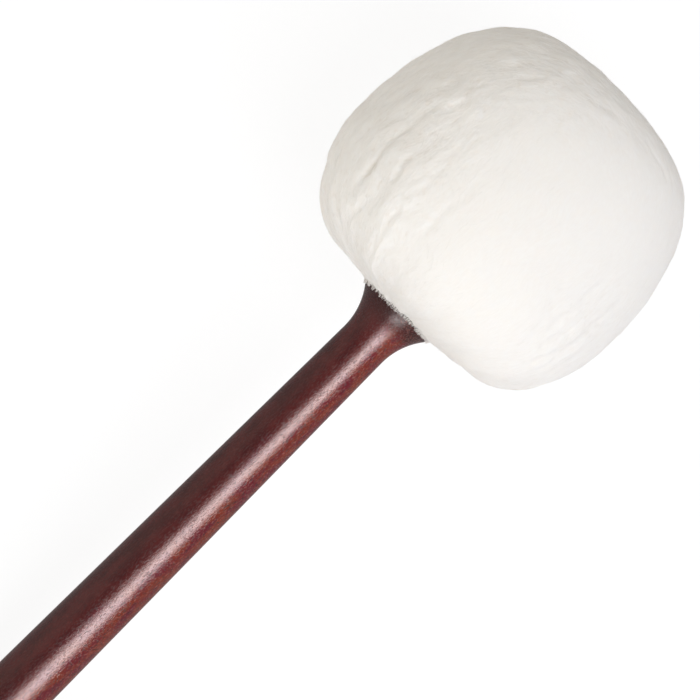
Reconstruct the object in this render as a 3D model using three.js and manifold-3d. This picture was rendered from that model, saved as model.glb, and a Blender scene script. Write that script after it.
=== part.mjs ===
// A concert bass drum mallet: a turned, stained hardwood handle that flares out like a trumpet under
// a large barrel-shaped head. Inside the head a turned wooden core is fixed on the handle's tenon with
// a screw and washer. Hard felt is wound round the core and closes its ends, soft wool batting rounds
// the head out, and a thick fleece cover is drawn over everything and tied behind the flare's rim.
//
// Millimetres. Each piece is turned about +Y, with the butt of the handle at y = 0 and the crown of the
// head at y = OVERALL_LENGTH. The finished mallet is then laid on a table, with +X towards the crown
// and +Z up: it touches the table at the side of the head and at the butt.
import * as THREE from "three";
import { mergeVertices } from "three/addons/utils/BufferGeometryUtils.js";
import Module from "manifold-3d";

const wasm = await Module();
wasm.setup();

// Driving sizes of the whole mallet
const OVERALL_LENGTH = 365;
const HEAD_DIAMETER = 102;
const HEAD_LENGTH = 92; // from the flare's rim to the crown
const CREST_FROM_CROWN = 54.7; // the head is widest here

// How square the head's outline is: 2 is an ellipse, and more is squarer
const FRONT_POWERS = { along: 2.2, across: 2.9 };
const REAR_POWERS = { along: 2.1, across: 4.3 };

// Handle
const BUTT_DIAMETER = 21.7;
const BUTT_ROUNDING = 8;
const NECK_DIAMETER = 15.4; // the thinnest place, where the flare begins
const FLARE_RADIUS = 21; // of the cove between the neck and the rim
const RIM_DIAMETER = 25;
const RIM_LAND = 0.4;
const HEM_SEAT_DIAMETER = 17;
const TENON_DIAMETER = 12.7;
const TENON_CHAMFER = 1;

// Fleece cover, and the thread that ties its hem
const COVER_THICKNESS = 7;
const HEM_THICKNESS = 2;
const HEM_LENGTH = 5.4;
const SKIN_THICKNESS = 1.4; // the hide that carries the pile
const GATHER_COUNT = 12;
const GATHER_DEPTH = 0.9;
const THREAD_DIAMETER = 1;
const THREAD_PITCH = 1.5;
const THREAD_TURNS = 2.5;
const PRESSED_DEPTH = 1; // how far the table presses the pile in

// Padding: batting, the wound felt strip and the felt pads at the core's ends
const BATTING_THICKNESS = 8.5; // round the side of the head
const CROWN_BATTING_THICKNESS = 10.5;
const FELT_THICKNESS = 4;
const FELT_TURNS = 2;
const PAD_OVERHANG = 1.2; // of the pads past the core's edge
const REAR_PAD_THICKNESS = 6;
const FRONT_PAD_THICKNESS = 8;
const PAD_ROUNDING = 2;
const CORE_ROUNDING = 1.5;

// Fixing
const WASHER_DIAMETER = 18;
const WASHER_THICKNESS = 1.5;
const SCREW_DIAMETER = 4;
const SCREW_LENGTH = 30;
const SCREW_HEAD_DIAMETER = 8.5;
const SCREW_HEAD_HEIGHT = 2.8;
const SCREW_HEAD_ROUNDING = 1.6;
const SCREW_TIP = 3;
const SCREW_RECESS = 1.2; // of the screw's head below the core's front face

// Clearance between pieces that seat on each other, and between turns of felt
const FIT = 0.3;
const FELT_GAP = 0.4;
const OVERRUN = 2; // how far a cutting body reaches past what it cuts

// Facets of a full turn
const HANDLE_SIDES = 48;
const COVER_SIDES = GATHER_COUNT * 4;
const PADDING_SIDES = 24;
const CORE_SIDES = 36;
const SMALL_SIDES = 24;
const PILE_STEPS = 8; // of the front and of the rear half of the head's outline
const PADDING_STEPS = 6; // of the same halves inside the cover
const ARC_STEPS = 5;
const FELT_STEPS = 24; // of one turn of the wound strip
const THREAD_STEPS = 24;
const THREAD_SIDES = 6;

// Radii and stations along the axis that several pieces share
const rimFace = OVERALL_LENGTH - HEAD_LENGTH;
const crest = OVERALL_LENGTH - CREST_FROM_CROWN;
const headRear = rimFace + FIT;
const skinInner = headRear + COVER_THICKNESS;
const hemSeatRadius = HEM_SEAT_DIAMETER / 2;
const hemInner = hemSeatRadius + FIT;
const hemOuter = hemInner + HEM_THICKNESS;
const threadRadius = hemOuter + FIT + THREAD_DIAMETER / 2;
const mouthRadius = threadRadius + THREAD_DIAMETER / 2 + FIT; // the opening in the pile

const rearPadStart = skinInner + FIT;
const coreStart = rearPadStart + REAR_PAD_THICKNESS + FIT;
const crownInner = OVERALL_LENGTH - COVER_THICKNESS;
const frontPadEnd = crownInner - FIT - CROWN_BATTING_THICKNESS - FIT;
const frontPadStart = frontPadEnd - FRONT_PAD_THICKNESS;
const coreEnd = frontPadStart - FIT;

const screwHeadEnd = coreEnd - SCREW_RECESS;
const screwHeadStart = screwHeadEnd - SCREW_HEAD_HEIGHT;
const washerEnd = screwHeadStart - FIT;
const washerStart = washerEnd - WASHER_THICKNESS;
const recessFloor = washerStart - FIT;
const tenonEnd = recessFloor - FIT;

const tenonRadius = TENON_DIAMETER / 2;
const tenonBore = tenonRadius + FIT;
const screwBore = SCREW_DIAMETER / 2 + FIT;
const washerRadius = WASHER_DIAMETER / 2;
const recessRadius = washerRadius + FIT;

const feltPitch = FELT_THICKNESS + FELT_GAP;
const feltOuter = HEAD_DIAMETER / 2 - COVER_THICKNESS - FIT - BATTING_THICKNESS - FIT;
const feltInner = feltOuter - FELT_TURNS * feltPitch - FELT_THICKNESS;
const coreRadius = feltInner - FIT;
const padRadius = coreRadius + PAD_OVERHANG;

const point = (radius, y) => new THREE.Vector2(radius, y);

// Points of an arc about a centre, from one angle to another, both ends included.
function arc(centreRadius, centreY, radius, from, to, steps = ARC_STEPS) {
  const points = [];
  for (let i = 0; i <= steps; i++) {
    const angle = from + ((to - from) * i) / steps;
    points.push(point(centreRadius + radius * Math.cos(angle), centreY + radius * Math.sin(angle)));
  }
  return points;
}

// A closed solid of revolution about +Y from an outline that runs with the material on its left.
const turned = (outline, sides) => new THREE.LatheGeometry(outline, sides);

// A three.js geometry as a solid for joining and cutting.
function solid(geometry) {
  const bare = geometry.index ? geometry.toNonIndexed() : geometry.clone();
  bare.deleteAttribute("normal");
  bare.deleteAttribute("uv");
  const merged = mergeVertices(bare, 1e-4);
  return new wasm.Manifold(
    new wasm.Mesh({
      numProp: 3,
      vertProperties: new Float32Array(merged.attributes.position.array),
      triVerts: new Uint32Array(merged.index.array),
    }),
  );
}

// The three.js geometry of a joined or cut solid.
function geometryOf(made) {
  const { vertProperties, triVerts } = made.getMesh();
  const geometry = new THREE.BufferGeometry();
  geometry.setAttribute("position", new THREE.BufferAttribute(vertProperties, 3));
  geometry.setIndex(new THREE.BufferAttribute(triVerts, 1));
  geometry.computeVertexNormals();
  return geometry;
}

// Half of the head's outline, from the axis to the crest, for a surface that lies `inset` inside the
// pile. `side` is 1 for the front and -1 for the rear.
function halfOutline(side, inset, steps) {
  const powers = side > 0 ? FRONT_POWERS : REAR_POWERS;
  const length = (side > 0 ? CREST_FROM_CROWN : crest - headRear) - inset;
  const radius = HEAD_DIAMETER / 2 - inset;
  const points = [];
  for (let i = 0; i <= steps; i++) {
    const angle = (i / steps) * (Math.PI / 2);
    const across = Math.sin(angle) ** (2 / powers.across);
    const along = i === steps ? 0 : Math.cos(angle) ** (2 / powers.along);
    points.push(point(radius * across, crest + side * length * along));
  }
  return points;
}

// The whole outline, from the axis at the neck round the crest to the axis at the crown.
function headOutline(inset, steps) {
  return [...halfOutline(-1, inset, steps), ...halfOutline(1, inset, steps).reverse().slice(1)];
}

// The place where an outline first reaches a radius.
function reaching(points, radius) {
  const next = points.findIndex((p) => p.x > radius);
  const before = points[next - 1];
  const share = (radius - before.x) / (points[next].x - before.x);
  return point(radius, before.y + share * (points[next].y - before.y));
}

// The padding's outline from a given radius on, with an opening of that radius in the rear.
function openOutline(inset, opening) {
  const points = headOutline(inset, PADDING_STEPS);
  return [reaching(points, opening), ...points.slice(points.findIndex((p) => p.x > opening))];
}

// The handle's outline from the centre of the butt to the rim of the flare.
function handleOutline() {
  const buttRadius = BUTT_DIAMETER / 2;
  const neckRadius = NECK_DIAMETER / 2;
  const rimRadius = RIM_DIAMETER / 2;
  const flareTurn = Math.acos((FLARE_RADIUS - (rimRadius - neckRadius)) / FLARE_RADIUS);
  const flareStart = rimFace - RIM_LAND - FLARE_RADIUS * Math.sin(flareTurn);
  return [
    point(0, 0),
    ...arc(buttRadius - BUTT_ROUNDING, BUTT_ROUNDING, BUTT_ROUNDING, -Math.PI / 2, 0, ARC_STEPS + 1),
    ...arc(neckRadius + FLARE_RADIUS, flareStart, FLARE_RADIUS, Math.PI, Math.PI - flareTurn, ARC_STEPS * 2),
    point(rimRadius, rimFace),
  ];
}

// Handle: one turned piece of stained hardwood. Past the rim it has the seat for the cover's hem, the
// shoulder that the core sits against, and the tenon with a pilot hole for the screw.
function handle() {
  const pilotEnd = washerEnd - SCREW_LENGTH - FIT;
  return turned(
    [
      ...handleOutline(),
      point(hemSeatRadius, rimFace),
      point(hemSeatRadius, coreStart - FIT),
      point(tenonRadius, coreStart - FIT),
      point(tenonRadius, tenonEnd - TENON_CHAMFER),
      point(tenonRadius - TENON_CHAMFER, tenonEnd),
      point(screwBore, tenonEnd),
      point(screwBore, pilotEnd),
      point(0, pilotEnd - SCREW_DIAMETER / 2),
    ],
    HANDLE_SIDES,
  );
}

// Core: a turned wooden drum, bored for the tenon, with a recess for the washer in its front face.
function core() {
  const edge = coreRadius - CORE_ROUNDING;
  return turned(
    [
      point(tenonBore, coreStart),
      ...arc(edge, coreStart + CORE_ROUNDING, CORE_ROUNDING, -Math.PI / 2, 0),
      ...arc(edge, coreEnd - CORE_ROUNDING, CORE_ROUNDING, 0, Math.PI / 2),
      point(recessRadius, coreEnd),
      point(recessRadius, recessFloor),
      point(tenonBore, recessFloor),
      point(tenonBore, coreStart),
    ],
    CORE_SIDES,
  );
}

// Washer under the screw's head: it spans the end of the tenon and bears on the recess's floor.
function washer() {
  return turned(
    [
      point(screwBore, washerStart),
      point(washerRadius, washerStart),
      point(washerRadius, washerEnd),
      point(screwBore, washerEnd),
      point(screwBore, washerStart),
    ],
    CORE_SIDES,
  );
}

// Wood screw: a plain shank with a pointed tip, and a pan head.
function screw() {
  const shankRadius = SCREW_DIAMETER / 2;
  const headRadius = SCREW_HEAD_DIAMETER / 2;
  const rounding = SCREW_HEAD_ROUNDING;
  const tip = washerEnd - SCREW_LENGTH;
  return turned(
    [
      point(0, tip),
      point(shankRadius, tip + SCREW_TIP),
      point(shankRadius, screwHeadStart),
      point(headRadius, screwHeadStart),
      ...arc(headRadius - rounding, screwHeadEnd - rounding, rounding, 0, Math.PI / 2),
      point(0, screwHeadEnd),
    ],
    SMALL_SIDES,
  );
}

// Felt pad behind the core: a ring that lies against the inside of the cover.
function rearPad() {
  const end = rearPadStart + REAR_PAD_THICKNESS;
  const back = halfOutline(-1, COVER_THICKNESS + FIT, PADDING_STEPS);
  return turned(
    [
      reaching(back, hemInner),
      ...back.filter((p) => p.x > hemInner && p.x < padRadius),
      reaching(back, padRadius),
      ...arc(padRadius - PAD_ROUNDING, end - PAD_ROUNDING, PAD_ROUNDING, 0, Math.PI / 2),
      point(hemInner, end),
      reaching(back, hemInner),
    ],
    PADDING_SIDES,
  );
}

// Felt pad before the core: a whole disc that covers the screw, domed towards the crown.
function frontPad() {
  const dome = FRONT_PAD_THICKNESS - PAD_ROUNDING;
  return turned(
    [
      point(0, frontPadStart),
      ...arc(padRadius - PAD_ROUNDING, frontPadStart + PAD_ROUNDING, PAD_ROUNDING, -Math.PI / 2, 0),
      ...arc(padRadius - dome, frontPadEnd - dome, dome, 0, Math.PI / 2),
      point(0, frontPadEnd),
    ],
    PADDING_SIDES,
  );
}

// Hard felt strip, as wide as the core is long, wound round the core as a spiral.
function woundFelt() {
  const steps = FELT_TURNS * FELT_STEPS;
  const spiral = (offset) => {
    const points = [];
    for (let i = 0; i <= steps; i++) {
      const turns = i / FELT_STEPS;
      const radius = feltInner + offset + turns * feltPitch;
      const angle = turns * 2 * Math.PI;
      points.push(point(radius * Math.cos(angle), radius * Math.sin(angle)));
    }
    return points;
  };
  const strip = new THREE.Shape([...spiral(0), ...spiral(FELT_THICKNESS).reverse()]);
  const geometry = new THREE.ExtrudeGeometry(strip, { depth: coreEnd - coreStart, bevelEnabled: false });
  return geometry.rotateX(-Math.PI / 2).translate(0, coreStart, 0);
}

// Wool batting: fills the head between the felt and the cover, open at the rear round the rear pad.
function batting() {
  const feltHole = feltOuter + FIT;
  const padHole = padRadius + FIT;
  return turned(
    [
      ...openOutline(COVER_THICKNESS + FIT, padHole),
      point(0, frontPadEnd + FIT),
      point(padHole, frontPadEnd + FIT),
      point(padHole, frontPadStart),
      point(feltHole, frontPadStart),
      point(feltHole, coreStart - FIT),
      point(padHole, coreStart - FIT),
      openOutline(COVER_THICKNESS + FIT, padHole)[0],
    ],
    PADDING_SIDES,
  );
}

// The swelling outside of the pile. Drawing the hem together leaves shallow gathers that run from the
// mouth up the rear of the head and fade out at the crest.
function gatheredPile() {
  const geometry = turned(headOutline(0, PILE_STEPS), COVER_SIDES);
  const places = geometry.attributes.position;
  const gatherLength = crest - headRear;
  for (let i = 0; i < places.count; i++) {
    const [x, y, z] = [places.getX(i), places.getY(i), places.getZ(i)];
    const radius = Math.hypot(x, z);
    const beyondMouth = THREE.MathUtils.smoothstep(radius, mouthRadius, HEAD_DIAMETER / 2);
    const behindCrest = THREE.MathUtils.clamp((crest - y) / gatherLength, 0, 1);
    const wave = (1 - Math.cos(GATHER_COUNT * Math.atan2(x, z))) / 2;
    const drawnIn = GATHER_DEPTH * wave * beyondMouth * Math.sqrt(behindCrest);
    const scale = radius > 0 ? 1 - drawnIn / radius : 1;
    places.setXYZ(i, x * scale, y, z * scale);
  }
  return geometry;
}

// Fleece cover: pile on its hide, as one thick skin with a cavity for the padding. The hem lies on its
// seat on the handle, and a channel behind the hide leaves room for the thread. `table` is the body
// of the table, which presses the pile flat where the head lies.
function cover(table) {
  const inside = openOutline(COVER_THICKNESS, hemInner);
  const cavity = turned(
    [
      point(0, headRear - OVERRUN),
      point(mouthRadius, headRear - OVERRUN),
      point(mouthRadius, skinInner - SKIN_THICKNESS),
      point(hemOuter, skinInner - SKIN_THICKNESS),
      point(hemOuter, skinInner - HEM_LENGTH),
      point(hemInner, skinInner - HEM_LENGTH),
      ...inside,
    ],
    PADDING_SIDES,
  );
  return geometryOf(solid(gatheredPile()).subtract(solid(cavity)).subtract(solid(table)));
}

// The line of the thread round the hem.
class ThreadLine extends THREE.Curve {
  getPoint(share) {
    const wound = THREAD_TURNS * THREAD_PITCH;
    const first = skinInner - SKIN_THICKNESS - FIT - THREAD_DIAMETER / 2 - wound;
    const angle = share * THREAD_TURNS * 2 * Math.PI;
    const [x, z] = [threadRadius * Math.sin(angle), threadRadius * Math.cos(angle)];
    return new THREE.Vector3(x, first + share * wound, z);
  }
}

// Waxed thread that ties the hem down on its seat.
function thread() {
  const section = new THREE.Shape();
  for (let i = 0; i < THREAD_SIDES; i++) {
    const angle = (i / THREAD_SIDES) * 2 * Math.PI;
    const corner = [(THREAD_DIAMETER / 2) * Math.cos(angle), (THREAD_DIAMETER / 2) * Math.sin(angle)];
    if (i === 0) section.moveTo(...corner);
    else section.lineTo(...corner);
  }
  section.closePath();
  return new THREE.ExtrudeGeometry(section, {
    steps: Math.round(THREAD_TURNS * THREAD_STEPS),
    extrudePath: new ThreadLine(),
  });
}

// The least gap between neighbouring turns of the thread, measured on points of its line.
function leastThreadGap() {
  const line = new ThreadLine();
  const count = Math.round(THREAD_TURNS * THREAD_STEPS);
  const places = [];
  for (let i = 0; i <= count; i++) places.push(line.getPoint(i / count));
  let least = Infinity;
  for (let i = 0; i <= count; i++) {
    for (let j = i + THREAD_STEPS / 2; j <= count; j++) {
      least = Math.min(least, places[i].distanceTo(places[j]) - THREAD_DIAMETER);
    }
  }
  return least;
}

// How far the axis rises from the table when the mallet lies on its head and its butt: the angle at
// which the lowest places of both outlines are level, with the pile pressed in a little.
function restingTilt() {
  const lowest = (outline, tilt) =>
    Math.min(...outline.map((p) => p.y * Math.sin(tilt) - p.x * Math.cos(tilt)));
  const head = headOutline(0, PILE_STEPS);
  const butt = handleOutline();
  let [low, high] = [0, Math.PI / 4];
  for (let i = 0; i < 60; i++) {
    const middle = (low + high) / 2;
    if (lowest(head, middle) + PRESSED_DEPTH < lowest(butt, middle)) low = middle;
    else high = middle;
  }
  return { tilt: low, drop: lowest(butt, low) };
}

const { tilt, drop } = restingTilt();

// From the turned pieces' frame to the table's: +Y is laid over to +X and raised by the tilt.
const laidDown = new THREE.Matrix4()
  .makeTranslation(0, 0, -drop)
  .multiply(new THREE.Matrix4().makeRotationY(-tilt))
  .multiply(new THREE.Matrix4().makeRotationZ(-Math.PI / 2));

// The table under the head, as a slab in the turned pieces' frame.
function tableUnderHead() {
  const slab = new THREE.BoxGeometry(HEAD_LENGTH + OVERRUN, HEAD_DIAMETER, PRESSED_DEPTH + OVERRUN);
  slab.translate(crest, 0, -(PRESSED_DEPTH + OVERRUN) / 2);
  return slab.applyMatrix4(laidDown.clone().invert());
}

function material(color, roughness, metalness = 0) {
  return new THREE.MeshStandardMaterial({ color, roughness, metalness });
}

const stainedWood = material(0x5a2624, 0.35);
const plainWood = material(0xcda674, 0.6);
const steel = material(0xb4b6b8, 0.35, 1);
const hardFelt = material(0xd9d2c0, 0.95);
const softWool = material(0xece7da, 1);
const fleece = material(0xf2efe8, 1);
const waxedThread = material(0xd8ccb0, 0.7);

const pieces = {
  handle: [handle(), stainedWood],
  core: [core(), plainWood],
  core_washer: [washer(), steel],
  core_screw: [screw(), steel],
  rear_felt_pad: [rearPad(), hardFelt],
  front_felt_pad: [frontPad(), hardFelt],
  wound_felt_strip: [woundFelt(), hardFelt],
  wool_batting: [batting(), softWool],
  fleece_cover: [cover(tableUnderHead()), fleece],
  hem_thread: [thread(), waxedThread],
};

const turnedPieces = new THREE.Group();
for (const [name, [geometry, look]] of Object.entries(pieces)) {
  const mesh = new THREE.Mesh(geometry, look);
  mesh.name = name;
  turnedPieces.add(mesh);
}
turnedPieces.applyMatrix4(laidDown);

// The origin is on the table, under the middle of the mallet's length.
const mallet = new THREE.Group();
mallet.add(turnedPieces);
const extent = new THREE.Box3().setFromObject(mallet, true);
turnedPieces.position.x -= (extent.min.x + extent.max.x) / 2;

console.log("least gap between turns of the thread, mm:", leastThreadGap().toFixed(2));

export default mallet;
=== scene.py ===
"""The looks of a concert bass drum mallet, laid on its side on a pale table.

A stained, lacquered handle flares out under a large head. The head is built up from a turned
core, wound felt, felt pads and wool batting inside a thick fleece cover. Metres, +X from the
butt of the handle towards the crown of the head, +Z up, the table at z = 0.
"""

import math

import bpy
import numpy as np
from mathutils import Matrix, Vector, noise
from mathutils.bvhtree import BVHTree


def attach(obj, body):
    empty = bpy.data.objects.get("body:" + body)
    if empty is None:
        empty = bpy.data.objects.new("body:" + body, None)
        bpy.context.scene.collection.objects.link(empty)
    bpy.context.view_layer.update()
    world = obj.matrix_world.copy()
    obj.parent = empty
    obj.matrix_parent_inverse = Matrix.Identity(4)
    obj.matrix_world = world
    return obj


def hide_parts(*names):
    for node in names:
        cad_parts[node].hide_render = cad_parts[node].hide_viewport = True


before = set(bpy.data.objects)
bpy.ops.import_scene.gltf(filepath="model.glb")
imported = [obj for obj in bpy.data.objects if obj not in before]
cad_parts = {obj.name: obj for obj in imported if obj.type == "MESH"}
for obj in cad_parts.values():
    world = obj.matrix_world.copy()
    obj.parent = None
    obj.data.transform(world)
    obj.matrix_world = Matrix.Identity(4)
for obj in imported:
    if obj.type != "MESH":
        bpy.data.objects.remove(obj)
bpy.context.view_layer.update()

# The mallet as it lies
# It touches the table with the side of its head and with the butt of its handle, so its axis
# rises a little towards the head. Pieces are modelled upright, with the butt at z = 0 and the
# crown at the top, and are then laid down: their own +X becomes the side that faces the table.
MM = 0.001
LENGTH = 365 * MM
TILT = math.radians(7.4832)
BUTT = Vector((-181.3619, 0, 9.7157)) * MM
AXIS_TURN = math.radians(90) - TILT
LAID_DOWN = Matrix.Translation(BUTT) @ Matrix.Rotation(AXIS_TURN, 4, "Y")


def on_axis(station):
    """The place on the mallet's axis that lies this far from the butt."""
    return LAID_DOWN @ Vector((0, 0, station))


# The photographer's camera
# It looks straight down on the mallet's axis, turned so that the handle comes in at the lower
# left corner and the head fills the upper right. The far end of the handle is out of its view.
PICTURE_SIDE = 700
PIXELS_PER_METRE = 3431
LENS = 180
SENSOR = 36
MIDDLE_STATION = 255.3 * MM
MIDDLE_ASIDE = 1.53 * MM
CAMERA_DISTANCE = PICTURE_SIDE / PIXELS_PER_METRE * LENS / SENSOR
along_axis = (LAID_DOWN.to_3x3() @ Vector((0, 0, 1))).normalized()
across_axis = Vector((0, 1, 0))
towards_camera = along_axis.cross(across_axis)
aim = on_axis(MIDDLE_STATION) + across_axis * MIDDLE_ASIDE
picture_right = (along_axis - across_axis).normalized()
picture_up = (along_axis + across_axis).normalized()

bpy.ops.object.camera_add(location=aim + towards_camera * CAMERA_DISTANCE)
camera = bpy.context.object
camera.rotation_euler = Matrix((picture_right, picture_up, towards_camera)).transposed().to_euler()
camera.data.lens = LENS
camera.data.sensor_width = SENSOR
camera.data.clip_start = 0.05
camera.data.clip_end = 20
bpy.context.scene.camera = camera


# Handle
# One piece of close-grained hardwood, turned on a lathe, stained dark red-brown and finished in
# satin lacquer. It swells to a trumpet flare under the head, and beyond the flare it carries the
# hem's seat and the tenon, both left bare inside the head.
BUTT_RADIUS = 10.85 * MM
BUTT_ROUNDING = 8 * MM
NECK_RADIUS = 7.7 * MM
FLARE_RADIUS = 21 * MM
RIM_RADIUS = 12.5 * MM
RIM_FACE = 273 * MM
RIM_LAND = 0.4 * MM
SEAT_RADIUS = 8.5 * MM
SHOULDER = 286.6 * MM
TENON_RADIUS = 6.35 * MM
TENON_END = 332.2 * MM
TENON_CHAMFER = 1 * MM
PILOT_RADIUS = 2.3 * MM
PILOT_END = 304 * MM
HANDLE_SIDES = 96
# Points closer than this, in metres, are one, and so many decimals tell two places apart.
SAME_PLACE = 1e-7
PLACE_DECIMALS = 7
# Across the handle, by the distance from its middle, the colour turns from brown over maroon to
# red: painted shade on the side away from the lamp and painted light on the side towards it.
# Along it, by the distance from the butt, it darkens near the rim.
BROWN_UNTIL = 8.5 * MM
MAROON_UNTIL = 4.5 * MM
RED_FROM = -1 * MM
DARKER_FROM = 272.2 * MM
DARKEST_FROM = 278 * MM
NEAR_RIM_DARK = (0.034, 0.006, 0.006)
FLECK_STAIN = (0.50, 0.20, 0.16)
PORE_STAIN = (0.020, 0.004, 0.004)


def arc(centre_radius, centre_height, radius, start, end, steps):
    """Points of an arc in an outline of (radius, height) pairs, both ends included."""
    turns = [math.radians(start + (end - start) * i / steps) for i in range(steps + 1)]
    return [
        (centre_radius + radius * math.cos(turn), centre_height + radius * math.sin(turn))
        for turn in turns
    ]


def in_fixed_order(mesh):
    """Puts points and faces in the order of their places, as the edit tools leave them in any.

    Hairs are later scattered by the numbers of the faces, and so lie the same on every run.
    """
    points = [tuple(vertex.co) for vertex in mesh.vertices]
    rounded = [[round(value, PLACE_DECIMALS) for value in point] for point in points]
    order = sorted(range(len(points)), key=rounded.__getitem__)
    rank = {old: new for new, old in enumerate(order)}
    faces = []
    for face in mesh.polygons:
        corners = [rank[corner] for corner in face.vertices]
        first = corners.index(min(corners))
        faces.append(corners[first:] + corners[:first])
    mesh.clear_geometry()
    mesh.from_pydata([points[i] for i in order], [], sorted(faces))


def turned(name, outline, sides):
    """A turned piece: a ring drawn up along an outline of (radius, height) pairs and laid down.

    An outline that ends where it began closes on itself, and any other end is closed on the axis.
    """
    bpy.ops.object.select_all(action="DESELECT")
    radius, height = outline[0]
    bpy.ops.mesh.primitive_circle_add(vertices=sides, radius=radius, location=(0, 0, 0))
    piece = bpy.context.object
    piece.name = piece.data.name = name
    bpy.ops.object.mode_set(mode="EDIT")
    bpy.ops.mesh.select_all(action="SELECT")
    bpy.ops.transform.translate(value=(0, 0, height))
    ring_closed = outline[0] == outline[-1]
    if not ring_closed:
        bpy.ops.mesh.edge_face_add()
        bpy.ops.mesh.poke()
        bpy.ops.mesh.select_all(action="DESELECT")
        bpy.ops.object.mode_set(mode="OBJECT")
        for vertex in piece.data.vertices:
            vertex.select = vertex.co.xy.length > radius / 2
        bpy.ops.object.mode_set(mode="EDIT")
    for next_radius, next_height in outline[1:]:
        upwards = (0, 0, next_height - height)
        bpy.ops.mesh.extrude_region_move(TRANSFORM_OT_translate={"value": upwards})
        stretch = next_radius / radius
        bpy.ops.transform.resize(value=(stretch, stretch, 1), center_override=(0, 0, 0))
        radius, height = next_radius, next_height
    if not ring_closed:
        bpy.ops.mesh.edge_face_add()
        bpy.ops.mesh.poke()
    bpy.ops.mesh.select_all(action="SELECT")
    bpy.ops.mesh.remove_doubles(threshold=SAME_PLACE)
    bpy.ops.mesh.normals_make_consistent(inside=False)
    bpy.ops.object.mode_set(mode="OBJECT")
    in_fixed_order(piece.data)
    piece.data.transform(LAID_DOWN)
    return piece


class Signal:
    """What a node gives out. Sums and products of it add Math nodes to its material."""

    def __init__(self, finish, socket):
        self.finish = finish
        self.socket = socket

    def math(self, operation, *values):
        return self.finish.node("Math", {"operation": operation}, dict(enumerate(values)))

    def __add__(self, other):
        return self.math("ADD", self, other)

    def __sub__(self, other):
        return self.math("SUBTRACT", self, other)

    def __rsub__(self, other):
        return self.math("SUBTRACT", other, self)

    def __mul__(self, other):
        return self.math("MULTIPLY", self, other)

    __radd__ = __add__
    __rmul__ = __mul__


class Nodes:
    """The nodes of a material or of the sky."""

    def __init__(self, tree):
        self.tree = tree

    def put(self, sockets, key, value):
        """Sets or links one socket, found by its place or by its name among those in use."""
        if isinstance(key, int):
            socket = sockets[key]
        else:
            socket = next(s for s in sockets if s.name == key and s.enabled)
        if isinstance(value, Signal):
            self.tree.links.new(value.socket, socket)
        else:
            socket.default_value = value

    def node(self, kind, settings=None, values=None, output=None):
        """Adds a node of a type with its settings and the values or links of its sockets."""
        node = self.tree.nodes.new("ShaderNode" + kind)
        for setting, value in (settings or {}).items():
            setattr(node, setting, value)
        for key, value in (values or {}).items():
            self.put(node.inputs, key, value)
        if output is None:
            return Signal(self, next(s for s in node.outputs if s.enabled))
        return Signal(self, node.outputs[output])

    def stretched(self, place, scale):
        """A place as a pattern reads it, with its own number of waves to a metre on each axis."""
        return self.node("Mapping", {"vector_type": "POINT"}, {"Vector": place, "Scale": scale})

    def noise(self, place, scale, detail=3, roughness=0.5):
        values = {"Vector": place, "Scale": scale, "Detail": detail, "Roughness": roughness}
        return self.node("TexNoise", {"noise_dimensions": "3D"}, values)

    def between(self, share, low, high):
        """A 0 to 1 share of the way from low to high, smoothed at both ends."""
        values = {"Value": share, "From Min": low, "From Max": high}
        return self.node("MapRange", {"interpolation_type": "SMOOTHSTEP"}, values)

    def blend(self, share, first, second):
        """Two colours, mixed by a share."""
        first, second = (c if isinstance(c, Signal) else (*c, 1) for c in (first, second))
        values = {"Factor": share, "A": first, "B": second}
        return self.node("Mix", {"data_type": "RGBA"}, values)


class Finish(Nodes):
    """A material made of nodes around one Principled shader."""

    def __init__(self, name, **constants):
        self.material = bpy.data.materials.new(name)
        self.material.use_nodes = True
        super().__init__(self.material.node_tree)
        self.shader = self.tree.nodes["Principled BSDF"]
        self.surface(**constants)

    def surface(self, **values):
        """Sets or links sockets of the shader itself."""
        for socket, value in values.items():
            self.put(self.shader.inputs, socket.replace("_", " "), value)

    def on(self, piece):
        piece.data.materials.clear()
        piece.data.materials.append(self.material)

    def upright_places(self):
        """Object coordinates turned back to the upright mallet, with z along its axis."""
        place = self.node("TexCoord", output="Object")
        turn = {"Location": BUTT, "Rotation": (0, AXIS_TURN, 0)}
        return self.node("Mapping", {"vector_type": "TEXTURE"}, {"Vector": place, **turn})

    def bump(self, height, strength, reach):
        values = {"Height": height, "Strength": strength, "Distance": reach}
        self.surface(Normal=self.node("Bump", values=values))


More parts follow.
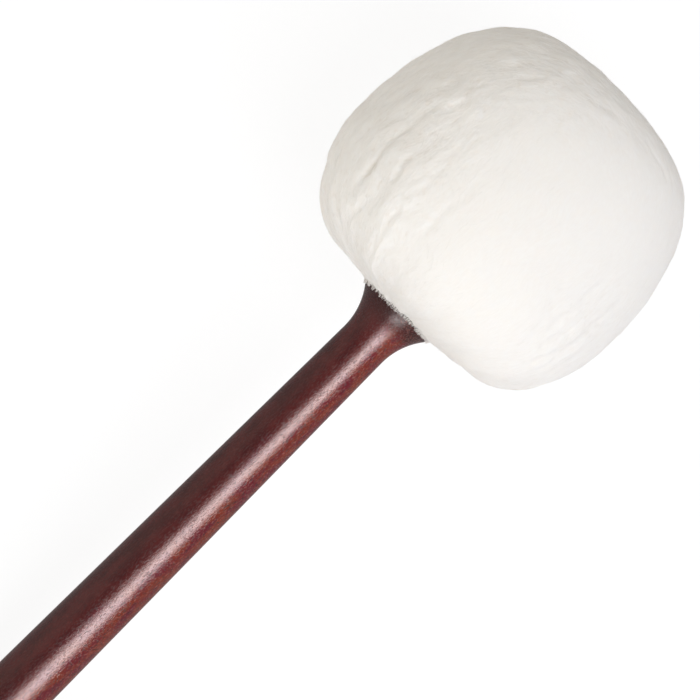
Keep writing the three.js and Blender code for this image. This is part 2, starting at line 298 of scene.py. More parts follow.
def stained_wood():
    """Dark red-brown stained wood under satin lacquer, speckled with fine pores and lighter
    flecks, with painted light on the side towards the lamp, painted shade on the side away, darker
    near the rim.
    """
    wood = Finish("stained_wood", Specular_IOR_Level=0.5)
    place = wood.upright_places()
    aside = wood.node("SeparateXYZ", values={"Vector": place}, output="Y")
    station = wood.node("SeparateXYZ", values={"Vector": place}, output="Z")
    patches = wood.noise(wood.stretched(place, (300, 300, 110)), 1, detail=3, roughness=0.6)
    flecks = wood.noise(wood.stretched(place, (2400, 2400, 1100)), 1, detail=2, roughness=0.7)
    pores = wood.noise(wood.stretched(place, (2900, 2900, 900)), 1, detail=2, roughness=0.6)
    patchy = wood.between(patches, 0.38, 0.62)
    # Brown and maroon are painted shade away from the lamp, red is painted light towards it.
    brown = wood.blend(patchy, (0.058, 0.015, 0.014), (0.084, 0.018, 0.017))
    maroon = wood.blend(patchy, (0.062, 0.008, 0.009), (0.090, 0.011, 0.011))
    red = wood.blend(patchy, (0.150, 0.014, 0.023), (0.212, 0.033, 0.017))
    drift = aside + patches * 0.006
    stain_and_painted_light = wood.blend(wood.between(drift, BROWN_UNTIL, MAROON_UNTIL), brown, maroon)
    lit_side = wood.between(drift, MAROON_UNTIL, RED_FROM)
    stain_and_painted_light = wood.blend(lit_side, stain_and_painted_light, red)
    # The wood is darker near the rim, under the head.
    ragged_station = station + patches * 0.008 + flecks * 0.005 - aside * 0.1
    near_rim = wood.between(ragged_station, DARKER_FROM, DARKEST_FROM)
    stain_and_painted_light = wood.blend(near_rim * 0.88, stain_and_painted_light, NEAR_RIM_DARK)
    # Flecks and pores show more on the side with painted light.
    fleck = wood.between(flecks, 0.52, 0.68)
    stain_and_painted_light = wood.blend(fleck * (0.08 + lit_side * 0.34), stain_and_painted_light, FLECK_STAIN)
    pore = wood.between(pores, 0.52, 0.66)
    stain_and_painted_light = wood.blend(pore * (0.4 + lit_side * 0.4), stain_and_painted_light, PORE_STAIN)
    wood.surface(Base_Color=stain_and_painted_light, Roughness=0.225 + pore * 0.2)
    wood.bump(fleck - pore, strength=0.38, reach=0.04 * MM)
    return wood


def handle_outline():
    """From the middle of the butt over the flare and the tenon to the end of the pilot hole."""
    turn = math.degrees(math.acos((FLARE_RADIUS - (RIM_RADIUS - NECK_RADIUS)) / FLARE_RADIUS))
    flare_start = RIM_FACE - RIM_LAND - FLARE_RADIUS * math.sin(math.radians(turn))
    return [
        *arc(BUTT_RADIUS - BUTT_ROUNDING, BUTT_ROUNDING, BUTT_ROUNDING, -90, 0, 12),
        *arc(NECK_RADIUS + FLARE_RADIUS, flare_start, FLARE_RADIUS, 180, 180 - turn, 24),
        (RIM_RADIUS, RIM_FACE),
        (SEAT_RADIUS, RIM_FACE),
        (SEAT_RADIUS, SHOULDER),
        (TENON_RADIUS, SHOULDER),
        (TENON_RADIUS, TENON_END - TENON_CHAMFER),
        (TENON_RADIUS - TENON_CHAMFER, TENON_END),
        (PILOT_RADIUS, TENON_END),
        (PILOT_RADIUS, PILOT_END),
    ]


def smooth(piece, degrees=35):
    """Shades a piece smooth, but for edges sharper than this."""
    bpy.ops.object.select_all(action="DESELECT")
    piece.select_set(True)
    bpy.context.view_layer.objects.active = piece
    bpy.ops.object.shade_smooth_by_angle(angle=math.radians(degrees))


handle = turned("turned_handle", handle_outline(), HANDLE_SIDES)
for vertex in handle.data.vertices:
    vertex.co.z = max(vertex.co.z, 0.0)
smooth(handle)
stained_wood().on(handle)
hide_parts("handle")
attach(handle, "root")


# Core
# A drum of pale, light wood, turned and bored, glued on the handle's tenon. It gives the head
# its weight and something hard behind the felt. It is left unfinished.
def turned_wood():
    """Pale unfinished wood with its growth rings drawn out along the axis."""
    wood = Finish("core_wood", Roughness=0.6)
    place = wood.upright_places()
    rings = wood.noise(wood.stretched(place, (170, 170, 14)), 1, detail=4, roughness=0.55)
    pores = wood.noise(wood.stretched(place, (1400, 1400, 110)), 1, detail=2)
    pale = wood.blend(wood.between(rings, 0.35, 0.65), (0.60, 0.40, 0.22), (0.74, 0.55, 0.34))
    pore = wood.between(pores, 0.58, 0.7)
    wood.surface(Base_Color=wood.blend(pore * 0.5, pale, (0.40, 0.25, 0.13)))
    wood.bump(rings - pore * 0.5, strength=0.3, reach=0.1 * MM)
    return wood


turned_wood().on(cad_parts["core"])


# Washer and screw
# Plain zinc-plated steel: a turned washer that spans the end of the tenon, and a pan-head wood
# screw that draws the core down on the handle's shoulder.
def plated_steel():
    """Dull grey plating with fine turning marks."""
    steel = Finish("plated_steel", Metallic=1.0)
    place = steel.node("TexCoord", output="Object")
    turning = steel.noise(steel.stretched(place, (3000, 300, 300)), 1, detail=2)
    dull = steel.noise(place, 400, detail=3)
    steel.surface(Base_Color=steel.blend(dull, (0.50, 0.51, 0.53), (0.66, 0.67, 0.68)))
    steel.surface(Roughness=0.25 + turning * 0.2)
    return steel


steel = plated_steel()
steel.on(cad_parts["core_washer"])
steel.on(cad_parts["core_screw"])


# Felt
# Hard pressed wool felt, off-white and a little mottled: a pad behind the core, a thicker pad
# before it, and a strip wound twice round its side. All of it is glued.
def pressed_felt():
    """Dense off-white felt, mottled and matt."""
    felt = Finish("pressed_felt", Roughness=0.95, Sheen_Weight=0.3, Sheen_Roughness=0.6)
    place = felt.node("TexCoord", output="Object")
    mottle = felt.noise(place, 260, detail=4, roughness=0.6)
    fibres = felt.noise(felt.stretched(place, (1800, 900, 1300)), 1, detail=3, roughness=0.7)
    felt.surface(Base_Color=felt.blend(mottle, (0.60, 0.56, 0.47), (0.76, 0.72, 0.63)))
    felt.bump(fibres + mottle * 0.5, strength=0.6, reach=0.2 * MM)
    return felt


felt = pressed_felt()
for pad in ("rear_felt_pad", "front_felt_pad", "wound_felt_strip"):
    felt.on(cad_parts[pad])


# Batting
# Loose carded wool that fills the head out round the felt, soft and nearly white.
def carded_wool():
    """Loose pale wool in soft tufts."""
    wool = Finish("carded_wool", Roughness=1.0, Sheen_Weight=0.5, Sheen_Roughness=0.5)
    place = wool.node("TexCoord", output="Object")
    tufts = wool.noise(place, 180, detail=5, roughness=0.65)
    fibres = wool.noise(wool.stretched(place, (500, 1500, 900)), 1, detail=4, roughness=0.7)
    wool.surface(Base_Color=wool.blend(tufts, (0.74, 0.71, 0.64), (0.88, 0.86, 0.80)))
    wool.bump(tufts + fibres * 0.5, strength=0.8, reach=0.8 * MM)
    return wool


carded_wool().on(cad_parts["wool_batting"])


# Fleece cover
# A round of short-cropped fleece, drawn over the padding with its pile outside and gathered
# behind the rim of the handle. Its pile is nearly white and stands about 6 mm on a thin hide.
# The gathers leave shallow grooves that run from the mouth up the back of the head.
REAR = 273.3 * MM
CREST = 310.3 * MM
HEAD_RADIUS = 51 * MM
COVER_THICKNESS = 7 * MM
SKIN_THICKNESS = 1.4 * MM
MOUTH_RADIUS = 12.4 * MM
HEM_INNER = 8.8 * MM
HEM_OUTER = 10.8 * MM
HEM_LENGTH = 5.4 * MM
MOUTH_ROUNDING = 0.8 * MM
CROWN_DISC_RADIUS = 2 * MM
PILE_BEGINS = 0.85
FRONT_POWERS = (2.2, 2.9)
REAR_POWERS = (2.1, 4.3)
COVER_SIDES = 100
PILE_STEPS = 23
INSIDE_STEPS = 3
GATHERS = 12
ROOM_TO_SWELL = 0.4 * MM
STOOD_UP = LAID_DOWN.inverted()


def half_outline(end, inset, powers, steps):
    """Half of the head's outline from near its end on the axis to the crest."""
    length = end - CREST + (inset if end < CREST else -inset)
    points = []
    for i in range(1, steps + 1):
        turn = math.pi / 2 * i / steps
        across = math.sin(turn) ** (2 / powers[1])
        along = math.cos(turn) ** (2 / powers[0]) if i < steps else 0
        points.append(((HEAD_RADIUS - inset) * across, CREST + length * along))
    return points


def cover_outline():
    """From inside the crown back to the hem, round the mouth and over the pile to the crown."""
    inside = REAR + COVER_THICKNESS
    rear_inside = half_outline(REAR, COVER_THICKNESS, REAR_POWERS, INSIDE_STEPS)
    rear_pile = half_outline(REAR, ROOM_TO_SWELL, REAR_POWERS, PILE_STEPS)
    front_pile = half_outline(LENGTH, ROOM_TO_SWELL, FRONT_POWERS, PILE_STEPS)
    return [
        *half_outline(LENGTH, COVER_THICKNESS, FRONT_POWERS, INSIDE_STEPS)[:-1],
        *reversed(rear_inside),
        (HEM_INNER, inside),
        (HEM_INNER, inside - HEM_LENGTH),
        (HEM_OUTER, inside - HEM_LENGTH),
        (HEM_OUTER, inside - SKIN_THICKNESS),
        (MOUTH_RADIUS, inside - SKIN_THICKNESS),
        (MOUTH_RADIUS, REAR + MOUTH_ROUNDING),
        (MOUTH_RADIUS + MOUTH_ROUNDING, REAR),
        *[p for p in rear_pile if p[0] > MOUTH_RADIUS + 2 * MM],
        *reversed(front_pile[:-1]),
        (CROWN_DISC_RADIUS, LENGTH - ROOM_TO_SWELL),
    ]


def is_pile(place):
    """Whether a place on the cover is on its pile, and not on the hide, the hem or the hollow."""
    off_axis = place.xy.length
    end, powers = (LENGTH, FRONT_POWERS) if place.z > CREST else (REAR, REAR_POWERS)
    along = abs((place.z - CREST) / (end - CREST))
    outward = along ** powers[0] + (off_axis / HEAD_RADIUS) ** powers[1]
    beyond_mouth = off_axis > MOUTH_RADIUS + 0.4 * MM or place.z > CREST
    return outward > PILE_BEGINS and beyond_mouth


def clamped(value, low=0.0, high=1.0):
    return max(low, min(high, value))


def eased(value, start, length):
    """A 0 to 1 share of the way from start over a length, smoothed at both ends."""
    share = clamped((value - start) / length)
    return share * share * (3 - 2 * share)


def fading(distance, reach):
    """1 at a place, and less and less round it, with little left at twice the reach."""
    return math.exp(-((distance / reach) ** 2))


def chance(place, waves, most=1.0, shift=(0, 0, 0)):
    """A smooth chance value, with so many waves to a metre and up to this much either way."""
    return most * noise.noise(place * waves + Vector(shift))


def swayed_turn(place):
    """The angle round the mallet's axis, swayed so that gathers and nap don't run straight."""
    return math.atan2(place.y, place.x) + chance(place, 28, 0.16)


# The nap runs along the head up to this far past the crest, and over this length it changes to
# lie across the crown. The radii, in millimetres, keep a tuft's size the same on both.
NAP_TURNS_AT = 12 * MM
NAP_TURNS_OVER = 26 * MM
NAP_RADIUS = 46
NAP_LENGTH = 50
CROWN_NAP_RADIUS = 45


def nap_places(place):
    """Three readings of a place on the upright head, for patterns that follow the nap.

    The first runs along the head from the mouth and the second round the crown from side to
    side, both in millimetres. The third is how far the crown's reading counts, from 0 to 1.
    """
    turn = swayed_turn(place) + chance(place, 90, 0.05)
    down = math.atan2(place.xy.length, place.z - CREST)
    over = math.atan2(place.y, place.z - CREST)
    round_axis = (math.cos(turn) * NAP_RADIUS, math.sin(turn) * NAP_RADIUS)
    round_crown = (math.cos(over) * CROWN_NAP_RADIUS, math.sin(over) * CROWN_NAP_RADIUS)
    lengthwise = Vector((*round_axis, down * NAP_LENGTH))
    crosswise = Vector((place.x / MM + chance(place, 35, 2.5), *round_crown))
    return lengthwise, crosswise, eased(place.z - CREST, NAP_TURNS_AT, NAP_TURNS_OVER)


# The pile is combed smooth round one spot. It lies rougher the further from it, most of all on
# the side away from it, on the underside and at the folds. Places and reaches in millimetres.
SMOOTH_SPOT = Vector((-48, -17, 315))
SMOOTH_REACH = 20
ROUGHER_OVER = 28
UNDERSIDE_FROM = -22
ROUGHER_ACROSS = 25
FOLDS = Vector((-30, -40, 304))
FOLDS_REACH = 16


def ruffled(place):
    """How rough the pile lies: 0 where it is combed smooth, to 1 where it is ruffled."""
    place = place / MM
    off_spot = eased((place - SMOOTH_SPOT).length, SMOOTH_REACH, ROUGHER_OVER)
    underneath = max(0.0, place.x - UNDERSIDE_FROM)
    towards_rough_side = clamped((place.y + 3 * underneath) / ROUGHER_ACROSS, -1.0)
    rough = (0.06 + 0.94 * off_spot) * (0.6 + 0.4 * towards_rough_side)
    return min(1.0, rough + 0.8 * fading((place - FOLDS).length, FOLDS_REACH))


# The layers of the relief: the width of a lump across the nap in millimetres, its length along
# the nap before it is stretched, and a shift that sets the layers apart.
LONG_WAVES = (6.0, 4.5, 7)
LONG_WAVE_HEIGHT = 0.35
TUFTS = (5.0, 2.7, 5)
SMALL_TUFTS = (3.0, 1.6, 31)
SMALL_TUFT_HEIGHT = 0.25
TUFT_SOFTNESS = 0.10
MEAN_RELIEF = 0.38


def relief(place, narrow, stretch):
    """Long waves and round tufts in millimetres, narrow on the given axes and long on others."""
    def lumps(width, length, shift):
        sizes = [1 / width if axis in narrow else 1 / (stretch * length) for axis in range(3)]
        return noise.noise(Vector([value * size + shift for value, size in zip(place, sizes)]))

    tufts = math.hypot(lumps(*TUFTS), TUFT_SOFTNESS)
    small_tufts = math.hypot(lumps(*SMALL_TUFTS), TUFT_SOFTNESS)
    waves = LONG_WAVE_HEIGHT * lumps(*LONG_WAVES)
    return waves + tufts + SMALL_TUFT_HEIGHT * small_tufts - MEAN_RELIEF


# The deepest creases of the pile: the places on the upright head, in millimetres, where each
# begins and ends, its depth and half its width.
CREASES = (
    ((-33, 34, 289), (-36, 35, 302), 1.00, 0.80),
    ((-36, 35, 301), (-37, 35, 312), 0.50, 0.80),
    ((-37, 35, 311), (-38, 33, 324), 0.32, 0.90),
    ((-42, 27, 296), (-42, 28, 306), 0.75, 0.80),
    ((-39, 18, 283), (-45, 20, 295), 0.50, 0.90),
    ((-45, 20, 294), (-48, 18, 312), 0.40, 1.00),
    ((-44, 9, 285), (-50, 11, 304), 0.50, 1.00),
    ((-49, 11, 302), (-50, 8, 316), 0.30, 1.10),
    ((-19, 40, 285), (-18, 47, 299), 0.50, 0.80),
    ((-29, -36, 287), (-28, -41, 298), 0.60, 1.30),
    ((-27, -41, 293), (-26, -43, 309), 0.75, 1.60),
    ((-28, -42, 306), (-26, -44, 321), 0.55, 1.70),
    ((-33, -37, 293), (-32, -40, 306), 0.45, 1.20),
    ((-36, -34, 299), (-36, -36, 313), 0.60, 1.40),
    ((-37, -35, 311), (-35, -36, 323), 0.40, 1.50),
    ((-38, 31, 329), (-38, 27, 337), 0.30, 0.80),
    ((-38, 23, 341), (-37, 17, 349), 0.25, 0.80),
    ((-40, 31, 319), (-42, 27, 329), 0.35, 0.80),
    ((-42, 22, 334), (-43, 13, 343), 0.25, 0.90),
    ((-35, 14, 352), (-30, 7, 358), 0.20, 0.90),
    ((-28, -15, 358), (-24, -30, 353), 0.30, 0.90),
    ((30, 32, 284), (39, 33, 315), 0.60, 0.70),
    ((41, 10, 282), (47, 17, 300), 0.50, 0.60),
    ((29, -34, 285), (27, -43, 322), 0.60, 0.70),
    ((5, -47, 290), (0, -51, 318), 0.45, 0.60),
    ((9, 48, 295), (3, 50, 325), 0.45, 0.60),
)
# Where handling has pressed the pile in, or has left it standing out, which is a depth below 0:
# the place, how deep and how far round it.
PRESSED_IN = (
    (Vector((0, 0, 365)), 1.7, 30),
    (Vector((0, 49, 325)), 1.1, 24),
    (Vector((0, 48, 290)), 0.9, 10),
    (Vector((0, 31, 276)), -0.5, 6),
    (Vector((0, 41, 281)), 0.3, 7),
    (Vector((0, 43, 347)), 0.4, 9),
    (Vector((0, -34, 277)), -0.6, 6),
    (Vector((0, -44, 284)), 0.4, 8),
    (Vector((0, -35, 355)), -1.1, 12),
    (Vector((0, -50, 325)), -0.35, 14),
)


def crease_depth(place):
    """How deep the creases go at a place on the upright head, with a low lip along both sides."""
    middle = Vector((0, 0, CREST / MM))
    towards = (place / MM - middle).normalized()
    wander = chance(place, 130, 1.5) + chance(place, 420, 0.8)
    uneven = 1 + chance(place, 170, 0.9, (3, 3, 3))
    depth = 0.0
    for first, last, deepest, half_width in CREASES:
        begin, end = Vector(first) - middle, Vector(last) - middle
        pole = begin.cross(end).normalized()
        onwards = pole.cross(begin).normalized()
        share = math.atan2(towards.dot(onwards), towards.dot(begin.normalized()))
        share = share / begin.angle(end)
        if 0 < share < 1:
            off = math.asin(towards.dot(pole)) * begin.length + wander
            fade = math.sin(math.pi * share) ** 0.6 * uneven
            lip = 0.12 * fading(abs(off) - 2.2 * half_width, 1.2 * half_width)
            depth += deepest * fade * (fading(off, half_width) - lip)
    return depth


# How high the gathers stand, in millimetres, and how far from the axis they reach that height
GATHER_HEIGHT = 0.30
GATHERED_RADIUS = 30 * MM


def pile_height(place):
    """How far the pile stands out at a place on the upright head, in metres."""
    lengthwise, crosswise, crown_share = nap_places(place)
    behind_crest = clamped((CREST - place.z) / (CREST - REAR))
    gather = GATHER_HEIGHT * math.cos(GATHERS * swayed_turn(place))
    height = chance(place, 34, 0.35, (5, 5, 5)) + chance(place, 105, 0.16, (2, 6, 1))
    height += gather * behind_crest**0.5 * min(1.0, place.xy.length / GATHERED_RADIUS)
    tufts = (1 - crown_share) * relief(lengthwise, narrow=(0, 1), stretch=4.2)
    tufts += crown_share * relief(crosswise, narrow=(0,), stretch=3.4)
    height += tufts * ruffled(place)
    for middle, depth, reach in PRESSED_IN:
        height -= depth * fading((place / MM - middle).length, reach)
    return (height - crease_depth(place)) * MM


def swell(cover, steps=20, most=2 * ROOM_TO_SWELL):
    """Lets the padded cover swell as cloth under a little pressure, no further than `most`."""
    before = [vertex.co.copy() for vertex in cover.data.vertices]
    held = cover.vertex_groups.new(name="hide")
    held.add([v.index for v in cover.data.vertices if not is_pile(STOOD_UP @ v.co)], 1, "REPLACE")
    cloth = cover.modifiers.new("swell", "CLOTH")
    cloth.settings.quality = 5
    cloth.settings.use_pressure = True
    cloth.settings.uniform_pressure_force = 4
    cloth.settings.effector_weights.gravity = 0
    cloth.settings.vertex_group_mass = "hide"
    cloth.collision_settings.use_collision = False
    for step in range(1, steps + 1):
        bpy.context.scene.frame_set(step)
    bpy.ops.object.select_all(action="DESELECT")
    cover.select_set(True)
    bpy.context.view_layer.objects.active = cover
    bpy.ops.object.modifier_apply(modifier=cloth.name)
    bpy.context.scene.frame_set(1)
    cover.vertex_groups.clear()
    for vertex, old in zip(cover.data.vertices, before):
        moved = vertex.co - old
        if moved.length > most:
            vertex.co = old + moved.normalized() * most


def refine(piece, levels):
    """Rounds a piece and makes its mesh finer."""
    finer = piece.modifiers.new("finer", "SUBSURF")
    finer.levels = finer.render_levels = levels
    bpy.ops.object.select_all(action="DESELECT")
    piece.select_set(True)
    bpy.context.view_layer.objects.active = piece
    bpy.ops.object.modifier_apply(modifier=finer.name)


def raise_pile(cover):
    """Lumps, gathers, creases and tufts of the pile, which the table presses flat below.

    The readings of where each point lies in the nap stay on the mesh for its finish.
    """
    mesh = cover.data
    places = [STOOD_UP @ vertex.co for vertex in mesh.vertices]
    readings = [nap_places(place) for place in places]
    for part, name in enumerate(("lengthwise", "crosswise")):
        reading = mesh.attributes.new(name, "FLOAT_VECTOR", "POINT")
        reading.data.foreach_set("vector", np.array([r[part] for r in readings]).ravel())
    shares = {"crown_share": [r[2] for r in readings], "ruffled": [ruffled(p) for p in places]}
    for name, values in shares.items():
        mesh.attributes.new(name, "FLOAT", "POINT").data.foreach_set("value", values)
    normals = [vertex.normal.copy() for vertex in mesh.vertices]
    for vertex, place, normal in zip(mesh.vertices, places, normals):
        if is_pile(place):
            vertex.co += normal * pile_height(place)
        vertex.co.z = max(vertex.co.z, 0.0)
    mesh.update()


def fleece():
    """Nearly white wool that lets light in, with painted shade in the pits between its tufts."""
    wool = Finish(
        "fleece",
        Roughness=1.0,
        Subsurface_Weight=0.7,
        Subsurface_Radius=(1.0, 0.95, 0.9),
        Subsurface_Scale=2 * MM,
    )
    lengthwise = wool.node("Attribute", {"attribute_name": "lengthwise"}, output="Vector")
    crosswise = wool.node("Attribute", {"attribute_name": "crosswise"}, output="Vector")
    crown_share = wool.node("Attribute", {"attribute_name": "crown_share"}, output="Fac")

    def nap(width, length, detail):
        """Noise that lies with the nap, with a tuft's width and length in millimetres."""
        short, long = 1 / width, 1 / length
        along = wool.noise(wool.stretched(lengthwise, (short, short, long)), 1, detail)
        across = wool.noise(wool.stretched(crosswise, (short, long, long)), 1, detail)
        return along + (across - along) * crown_share

    rough = wool.node("Attribute", {"attribute_name": "ruffled"}, output="Fac")
    tufts = wool.between(nap(1.5, 4.0, detail=2), 0.4, 0.65) * rough
    pits = wool.between(nap(1.3, 2.4, detail=1), 0.58, 0.76) * rough
    fibres = nap(0.4, 2.0, detail=3)
    shade = tufts * 0.5 + wool.between(fibres, 0.3, 0.7) * 0.5
    pile = wool.blend(shade, (0.96, 0.900, 0.849), (0.99, 0.942, 0.896))
    # The pits get a darker colour, which is painted shade between the tufts.
    wool.surface(Base_Color=wool.blend(pits * 0.35, pile, (0.84, 0.77, 0.70)))
    wool.bump(tufts + fibres * 0.1 - pits * 0.5, strength=0.2, reach=0.5 * MM)
    return wool


cover = turned("fleece_pile", cover_outline(), COVER_SIDES)
swell(cover)
refine(cover, 2)
raise_pile(cover)
smooth(cover, 180)
fleece().on(cover)
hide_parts("fleece_cover")
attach(cover, "root")


# Fibres
# The loose ends of the pile: fine wool hairs that lie on it, mostly along the head from the mouth
# towards the crown, and short tufts at the mouth that stand back over the rim of the handle.
# Each hair is a thin three-sided strand with pointed ends, rooted in the pile.
STRAND_POINTS = 5
STRAND_SIDES = 3
HAIRS = 8000
HAIR_LENGTHS = (2 * MM, 5 * MM)
HAIR_THICKNESSES = (0.01 * MM, 0.02 * MM)
HAIR_CURL = 0.45
ROOT_DEPTH = 0.1 * MM
# How far hairs stand off the pile, in millimetres: at least, on average beyond that, and at most
LEAST_OFF, MEAN_MORE_OFF, MOST_OFF = 0.03, 0.12, 0.8
# Half the width of the band along the crown's middle line where the hairs turn off along it
MIDDLE_BAND = 9 * MM


def nap_direction(place, normal):
    """Which way the hairs lie at a place on the upright head: along it, then over the crown.

    There they come up from both sides and turn off along the middle line. Behind the crest they
    spread outwards from the mouth.
    """
    _, _, crown_share = nap_places(place)
    climb = clamped(-place.y / MIDDLE_BAND, -1.0)
    uphill = Vector((0, place.z - CREST, -place.y)).normalized()
    over = uphill * climb + Vector((1 - abs(climb), 0, 0))
    swirl = Vector((chance(place, 60), chance(place, 60, shift=(9, 0, 0)), 0))
    lie = Vector((0, 0, 1)) * (1 - crown_share) + over * crown_share + swirl * 0.45
    outward = Vector((place.x, place.y, 0))
    if place.z < CREST and outward.length > 0:
        lie = lie + outward.normalized() * max(0.0, -normal.z) * 1.5
    return (lie - normal * lie.dot(normal)).normalized()


def combed_hairs(cover, count, dice):
    """Hairs scattered over the pile, each a thickness and the points it follows.

    More of them stand where the pile is ruffled.
    """
    pile = BVHTree.FromObject(cover, bpy.context.evaluated_depsgraph_get())
    corners = cover.data.vertices
    faces = [face for face in cover.data.polygons if is_pile(STOOD_UP @ face.center)]
    areas = np.array([face.area * (0.3 + ruffled(STOOD_UP @ face.center)) for face in faces])
    hairs = []
    for pick in dice.choice(len(faces), size=count, p=areas / areas.sum()):
        around = faces[pick].vertices
        shares = dice.dirichlet([1] * len(around))
        place = sum((corners[v].co * share for v, share in zip(around, shares)), Vector())
        reach = dice.uniform(*HAIR_LENGTHS) / (STRAND_POINTS - 1)
        top = min(LEAST_OFF + dice.exponential(MEAN_MORE_OFF), MOST_OFF) * MM
        curl = dice.normal(0, HAIR_CURL)
        spine = []
        for step in range(STRAND_POINTS):
            place, normal, _, _ = pile.find_nearest(place)
            share = step / (STRAND_POINTS - 1)
            raised = top * math.sin(math.pi * min(1, 0.15 + share)) - ROOT_DEPTH * (1 - share)
            spine.append(place + normal * raised)
            way = LAID_DOWN.to_3x3() @ nap_direction(STOOD_UP @ place, STOOD_UP.to_3x3() @ normal)
            place = place + (way + normal.cross(way) * curl) * reach
        hairs.append((dice.uniform(*HAIR_THICKNESSES), spine))
    return hairs


# The fringe: tufts round the mouth, hairs in a tuft, and how thick, how clear of the rim and how
# long they are. Towards the upper left of the picture they are this much longer.
FRINGE_TUFTS = 130
TUFT_HAIRS = 9
FRINGE_THICKNESSES = (0.025 * MM, 0.055 * MM)
RIM_CLEARANCES = (0.12, 0.4)
FRINGE_LENGTHS = (0.35, 1.15)
LONGER_ABOVE = 0.35


def fringe_hairs(tufts, count, dice):
    """Tufts of hairs round the mouth of the cover, longer and shorter by turns."""
    hairs = []
    for tuft in range(tufts):
        middle = 2 * math.pi * (tuft + dice.uniform(-0.5, 0.5)) / tufts
        longer = LONGER_ABOVE * max(0.0, math.sin(middle))
        tuft_length = (dice.uniform(*FRINGE_LENGTHS) + longer) * MM
        for _ in range(count):
            clear = RIM_RADIUS + dice.uniform(*RIM_CLEARANCES) * MM
            tip = REAR - 0.2 * MM - tuft_length * dice.uniform(0.6, 1.0)
            rings = (
                (clear + 1.5 * MM, REAR + 1 * MM),
                (clear + 0.6 * MM, REAR + 0.1 * MM),
                (clear, tip + 0.3 * MM),
                (clear, tip),
            )
            root_turn = middle + dice.normal(0, 0.05)
            tip_turn = middle + dice.normal(0, 0.015)
            turns = np.linspace(root_turn, tip_turn, len(rings))
            spine = [
                LAID_DOWN @ Vector((radius * math.cos(turn), radius * math.sin(turn), height))
                for turn, (radius, height) in zip(turns, rings)
            ]
            hairs.append((dice.uniform(*FRINGE_THICKNESSES), spine))
    return hairs


def strands(name, hairs):
    """One mesh of all these hairs. None of it reaches below the table."""
    middle = on_axis(CREST)
    corners, sides = [], []
    for thick, spine in hairs:
        first = len(corners)
        corners.append(spine[0])
        for before, here, after in zip(spine, spine[1:], spine[2:]):
            way = (after - before).normalized()
            side = way.cross(here - middle).normalized()
            out = side.cross(way)
            for corner in range(STRAND_SIDES):
                turn = 2 * math.pi * corner / STRAND_SIDES
                corners.append(here + (out * math.cos(turn) + side * math.sin(turn)) * thick)
        corners.append(spine[-1])
        last = len(corners) - 1
        for corner in range(STRAND_SIDES):
            following = (corner + 1) % STRAND_SIDES
            sides.append((first, first + 1 + following, first + 1 + corner))
            for low in range(first + 1, last - STRAND_SIDES, STRAND_SIDES):
                high = low + STRAND_SIDES
                sides.append((low + corner, low + following, high + following, high + corner))
            sides.append((last, last - STRAND_SIDES + corner, last - STRAND_SIDES + following))
    mesh = bpy.data.meshes.new(name)
    mesh.from_pydata([(x, y, max(z, 0.0)) for x, y, z in corners], [], sides)
    mesh.shade_smooth()
    piece = bpy.data.objects.new(name, mesh)
    bpy.context.scene.collection.objects.link(piece)
    return piece


def wool_hair():
    """Nearly white wool, whose tone changes a little from place to place."""
    hair = Finish("wool_hair", Roughness=1.0)
    place = hair.upright_places()
    tone = hair.between(hair.noise(place, 900, detail=2, roughness=0.7), 0.3, 0.7)
    hair.surface(Base_Color=hair.blend(tone, (0.965, 0.925, 0.885), (0.985, 0.955, 0.92)))
    return hair


dice = np.random.default_rng(41)
hair_finish = wool_hair()
for name, hairs in (
    ("fleece_hairs_1", combed_hairs(cover, HAIRS, dice)),
    ("fleece_hairs_2", combed_hairs(cover, HAIRS, dice)),
    ("mouth_fringe", fringe_hairs(FRINGE_TUFTS, TUFT_HAIRS, dice)),
):
    piece = strands(name, hairs)
    hair_finish.on(piece)
    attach(piece, "root")


# Thread
# Waxed linen thread, wound round the hem behind the rim of the handle and knotted.
def waxed_linen():
    """Tan linen, its wax a little glossy, with marks across the thread."""
    linen = Finish("waxed_linen", Roughness=0.6)
    place = linen.upright_places()
    strands = linen.noise(linen.stretched(place, (900, 900, 3500)), 1, detail=2)
    linen.surface(Base_Color=linen.blend(strands, (0.50, 0.44, 0.32), (0.68, 0.61, 0.47)))
    linen.bump(strands, strength=0.6, reach=0.1 * MM)
    return linen


waxed_linen().on(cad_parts["hem_thread"])


# Table and studio
# A white sheet under and round the mallet. A soft lamp that leans towards the lower right of the
# picture lights it, a pale wall beyond the butt brightens the back of the head, and two lamps and
# a low card draw the long highlight on the lacquer. A pale sky does the rest.
FLOOR_SIZE = 12
bpy.ops.object.select_all(action="DESELECT")
bpy.ops.mesh.primitive_plane_add(size=FLOOR_SIZE, location=(0, 0, 0))
floor = bpy.context.object
floor.name = "table"


def white_sheet():
    """Seen directly it is nearly white with a soft shadow, and the lacquer mirrors it dimly."""
    sheet = Finish("white_sheet", Base_Color=(0.82, 0.82, 0.82, 1), Roughness=1.0)
    seen = sheet.node("LightPath", output="Is Camera Ray")
    mirrored = sheet.node("LightPath", output="Is Glossy Ray")
    glow = sheet.node("Emission", values={"Color": (1, 1, 1, 1), "Strength": 0.25 + seen * 0.84})
    shaded = Signal(sheet, sheet.shader.outputs[0])
    mixed = sheet.node("MixShader", values={0: seen * 0.8 + mirrored * 0.85, 1: shaded, 2: glow})
    sheet.put(sheet.tree.nodes["Material Output"].inputs, "Surface", mixed)
    return sheet


white_sheet().on(floor)


def soft_lamp(name, direction, reach, size, power, colour):
    """A flat, wide lamp at this reach from the middle of the picture, which it faces.

    Its size is that across the mallet and that along it.
    """
    bpy.ops.object.light_add(type="AREA", location=aim + direction.normalized() * reach)
    lamp = bpy.context.object
    lamp.name = name
    lamp.data.shape = "RECTANGLE"
    lamp.data.size, lamp.data.size_y = size
    lamp.data.energy = power
    lamp.data.color = colour
    facing = direction.normalized()
    side = along_axis.cross(facing).normalized()
    upward = facing.cross(side)
    lamp.rotation_euler = Matrix((side, upward, facing)).transposed().to_euler()
    lamp.visible_camera = False
    return lamp


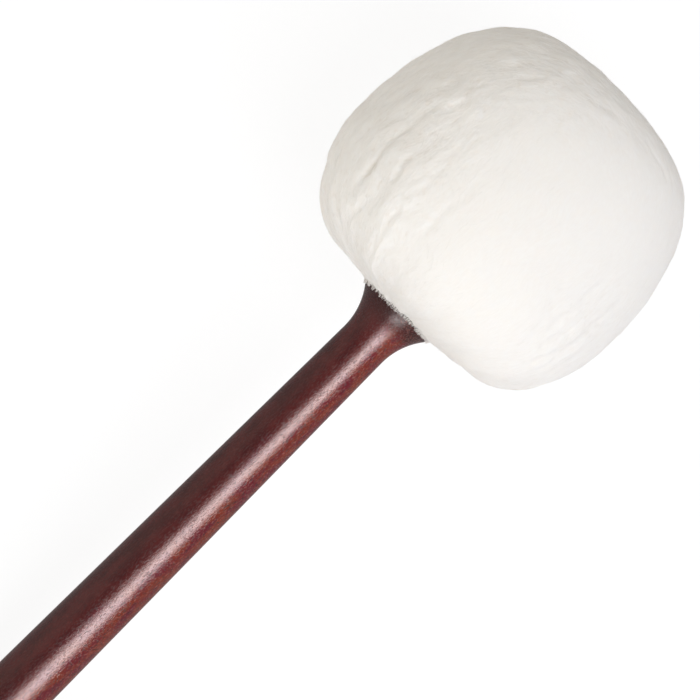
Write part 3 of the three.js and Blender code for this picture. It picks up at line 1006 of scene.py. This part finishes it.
def leaning(degrees, forward):
    """A direction that leans from the camera's towards the lower right of the picture.

    It also leans forward to the crown, or with a value below 0 back to the butt.
    """
    lean = math.radians(degrees)
    return towards_camera * math.cos(lean) - across_axis * math.sin(lean) + along_axis * forward


# The lacquer mirrors the three lamps that are marked so, and the other two only light the mallet.
WHITE = (1, 1, 1)
DAYLIGHT = (0.96, 0.98, 1.065)
beyond_butt = along_axis * -0.93 + across_axis * 0.33 + towards_camera * 0.14
low_before_butt = along_axis * -0.9 + towards_camera * 0.345 - across_axis * 0.27
for name, direction, reach, size, power, colour, mirrored_only in (
    ("softbox", leaning(32, 0.03), 1.0, (0.7, 0.6), 5.9, DAYLIGHT, False),
    ("softbox_front", leaning(33, -0.28), 0.98, (0.76, 0.95), 12.6, WHITE, True),
    ("softbox_middle", leaning(33, -0.16), 0.95, (0.4, 0.7), 6.8, WHITE, True),
    ("pale_wall", beyond_butt, 1.0, (0.8, 0.8), 3.0, WHITE, False),
    ("low_card", low_before_butt, 1.2, (0.6, 0.3), 4.6, WHITE, True),
):
    lamp = soft_lamp(name, direction, reach, size, power, colour)
    lamp.visible_diffuse = not mirrored_only
    lamp.visible_glossy = mirrored_only

# The sky is white to the camera. It lights the mallet in a warm tone, a little more from the upper
# left of the picture, and the lacquer mirrors it darker than it is.
world = bpy.data.worlds.new("studio")
bpy.context.scene.world = world
world.use_nodes = True
sky = Nodes(world.node_tree)
direction = sky.node("TexCoord", output="Generated")
height = sky.node("SeparateXYZ", values={"Vector": direction}, output="Z")
forward = sky.node("SeparateXYZ", values={"Vector": direction}, output="X")
aside = sky.node("SeparateXYZ", values={"Vector": direction}, output="Y")
seen = sky.node("LightPath", output="Is Camera Ray")
mirrored = sky.node("LightPath", output="Is Glossy Ray")
lighting = 0.494 - forward * 0.09 + aside * 0.275
dull = sky.between(height, 0.95, 0.65) * sky.between(aside, -0.4, 0.4) * 0.27 + 0.13
glow = lighting + mirrored * (dull - lighting)
background = world.node_tree.nodes["Background"].inputs
sky.put(background, "Color", sky.blend(seen, (1.0, 0.96, 0.893), WHITE))
sky.put(background, "Strength", seen * (1 - glow) + glow)

bpy.context.scene.view_settings.view_transform = "Standard"
